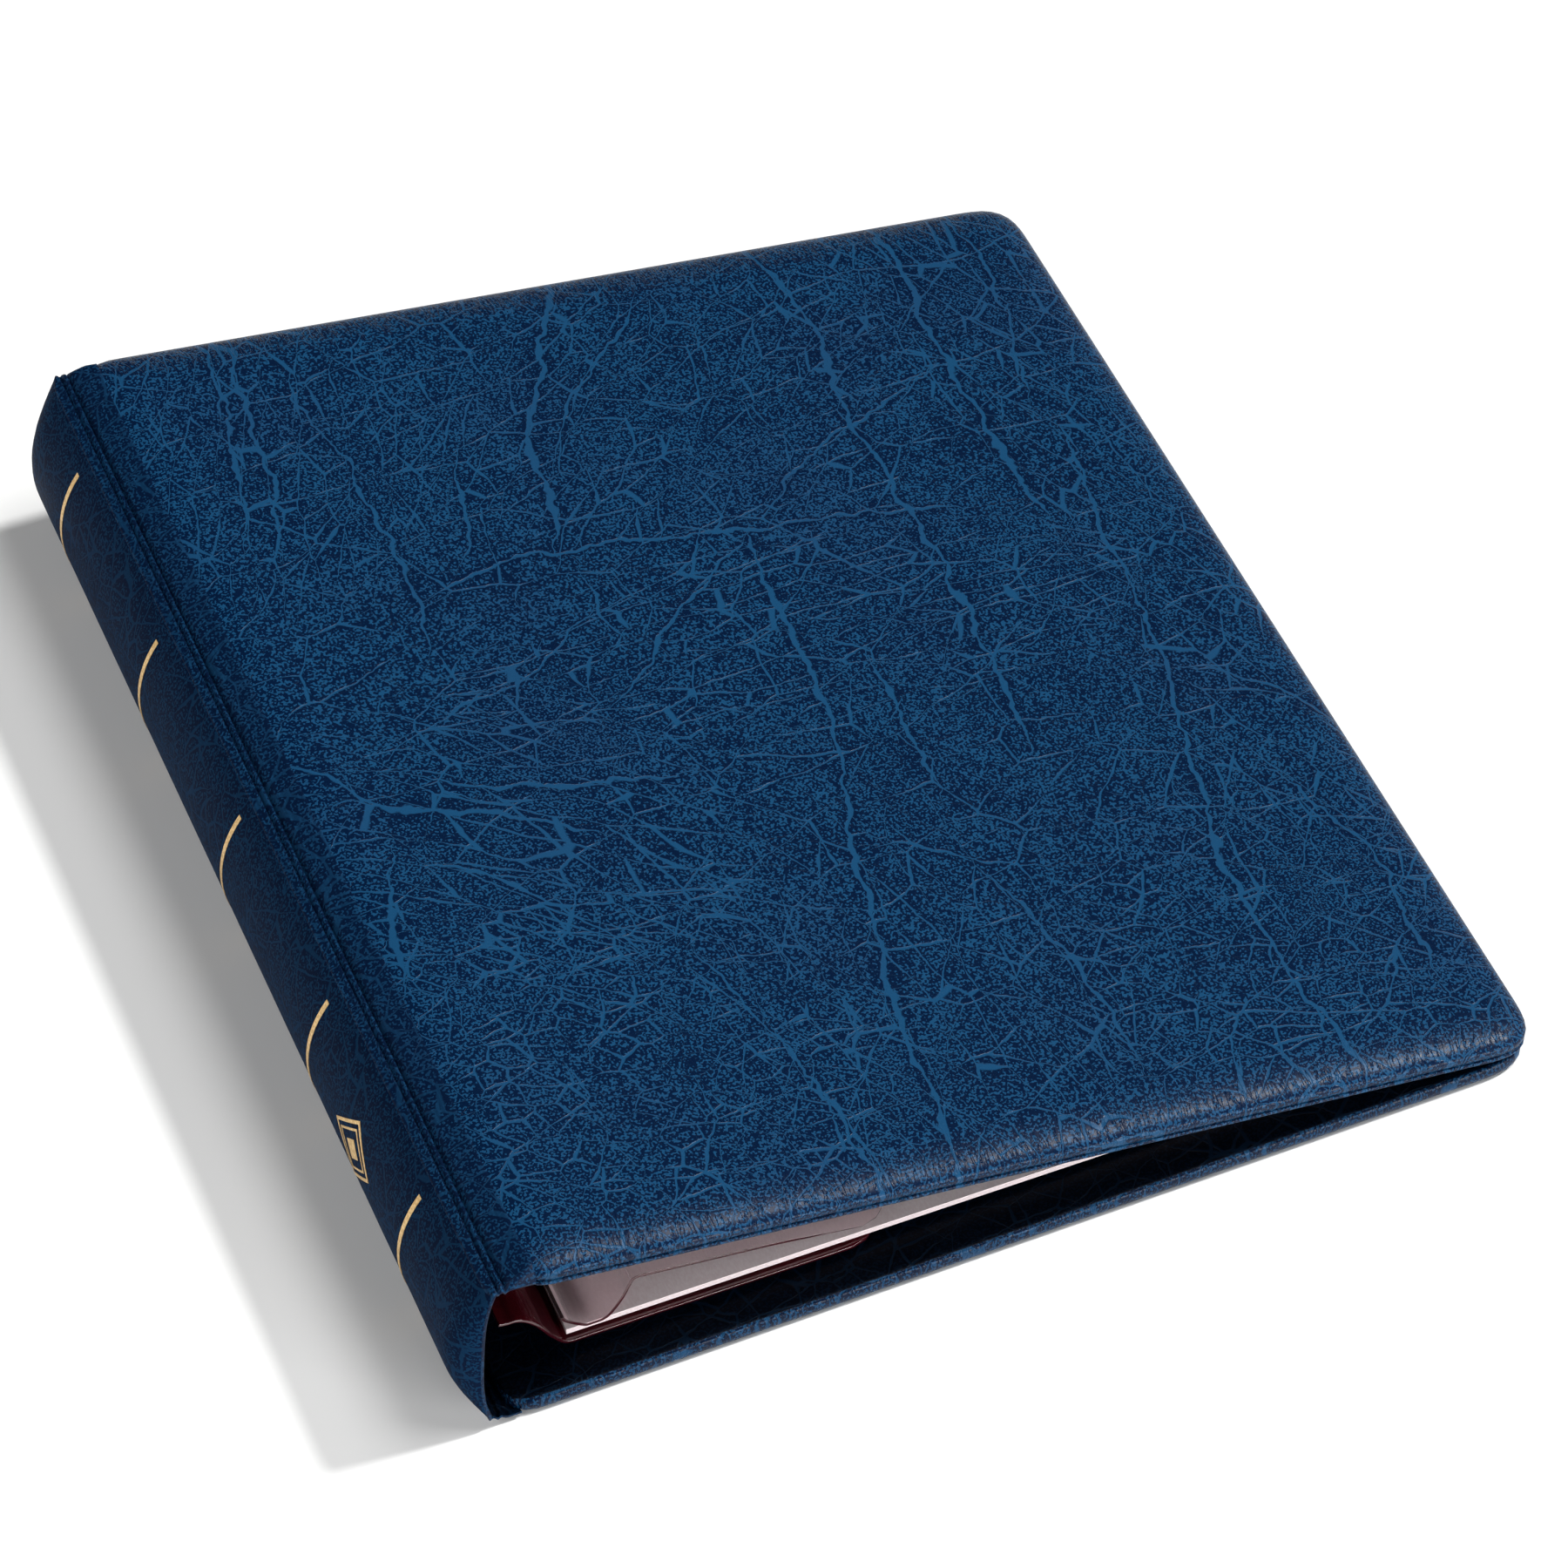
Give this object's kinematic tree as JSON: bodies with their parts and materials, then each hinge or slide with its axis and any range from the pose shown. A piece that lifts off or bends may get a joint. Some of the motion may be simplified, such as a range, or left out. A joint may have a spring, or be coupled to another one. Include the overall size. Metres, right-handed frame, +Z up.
{
  "type": "stamp album",
  "caption": "Padded ring album for stamp leaves: leatherette covers hinged on a rounded spine, ring mechanism inside, clear sheet lifters and white leaves.",
  "frame": {"origin": "middle of the album's footprint on the table that its back cover lies on", "axes": "+X from the spine to the fore-edge, +Y from the foot to the head of the album, +Z up through the closed album"},
  "size_m": [0.2788, 0.317, 0.054],
  "materials": {
    "leatherette": "navy blue embossed leatherette film with lighter veins, satin",
    "foam": "soft white foam padding, sealed inside the cover",
    "greyboard": "pressed grey board",
    "gold_foil": "hot-stamped gold foil",
    "nickel": "nickel-plated steel",
    "spring_steel": "drawn spring wire",
    "clear_plastic": "clear glossy plastic sheet with a faint wine-red tint at its edges",
    "leaf_paper": "smooth white card"
  },
  "bodies": {
    "root": {"back_cover_skin": "leatherette", "back_foam_pad": "foam", "back_cover_board": "greyboard", "back_cover_lining": "leatherette"},
    "spine": {"spine_skin": "leatherette", "spine_foam_pad": "foam", "spine_board": "greyboard", "spine_lining": "leatherette", "gold_lines": "gold_foil", "gold_ornament": "gold_foil", "front_hinge_strip": "leatherette", "back_hinge_strip": "leatherette", "mechanism_base_plate": "nickel", "mechanism_rivets": "nickel", "ring_pivot_rod": "nickel", "ring_lower_halves": "nickel", "closing_springs": "spring_steel"},
    "ring_gate": {"ring_swing_tube": "nickel", "ring_upper_halves": "nickel", "ring_lever_bottom": "nickel", "ring_lever_top": "nickel"},
    "front_cover": {"front_cover_skin": "leatherette", "front_foam_pad": "foam", "front_cover_board": "greyboard", "front_cover_lining": "leatherette"},
    "front_lifter": {"front_sheet_lifter": "clear_plastic"},
    "leaves": {"back_sheet_lifter": "clear_plastic", "lower_leaf": "leaf_paper", "middle_leaf": "leaf_paper"},
    "turning_leaf": {"upper_leaf": "leaf_paper"}
  },
  "joints": [
    {"name": "spine_hinge", "type": "hinge", "parent": "root", "child": "spine", "pos_m": [-0.13121, 0, 0.002], "axis": [0, -1, 0], "range_deg": [0, 64.5]},
    {"name": "front_cover_hinge", "type": "hinge", "parent": "spine", "child": "front_cover", "pos_m": [-0.12741, 0, 0.05105], "axis": [0, -1, 0], "range_deg": [0, 128.5]},
    {"name": "ring_gate_pivot", "type": "hinge", "parent": "spine", "child": "ring_gate", "pos_m": [-0.12831, 0, 0.02394], "axis": [0, -1, 0], "range_deg": [0, 17], "stiffness_Nm_per_rad": 0.02},
    {"name": "leaves_on_rings", "type": "hinge", "parent": "spine", "child": "leaves", "pos_m": [-0.11235, 0, 0.0227], "axis": [0, -1, 0], "range_deg": [-66.1, 0]},
    {"name": "front_lifter_on_rings", "type": "hinge", "parent": "spine", "child": "front_lifter", "pos_m": [-0.11235, 0, 0.0227], "axis": [0, -1, 0], "range_deg": [0, 105.87]},
    {"name": "leaf_turn", "type": "hinge", "parent": "leaves", "child": "turning_leaf", "pos_m": [-0.11235, 0, 0.0227], "axis": [0, -1, 0], "range_deg": [0, 75.03]}
  ],
  "couplings": [
    {"joint": "leaves_on_rings", "follows": "spine_hinge", "ratio": -1.017},
    {"joint": "front_lifter_on_rings", "follows": "front_cover_hinge", "ratio": 0.82},
    {"joint": "leaf_turn", "follows": "front_cover_hinge", "ratio": 0.58}
  ]
}
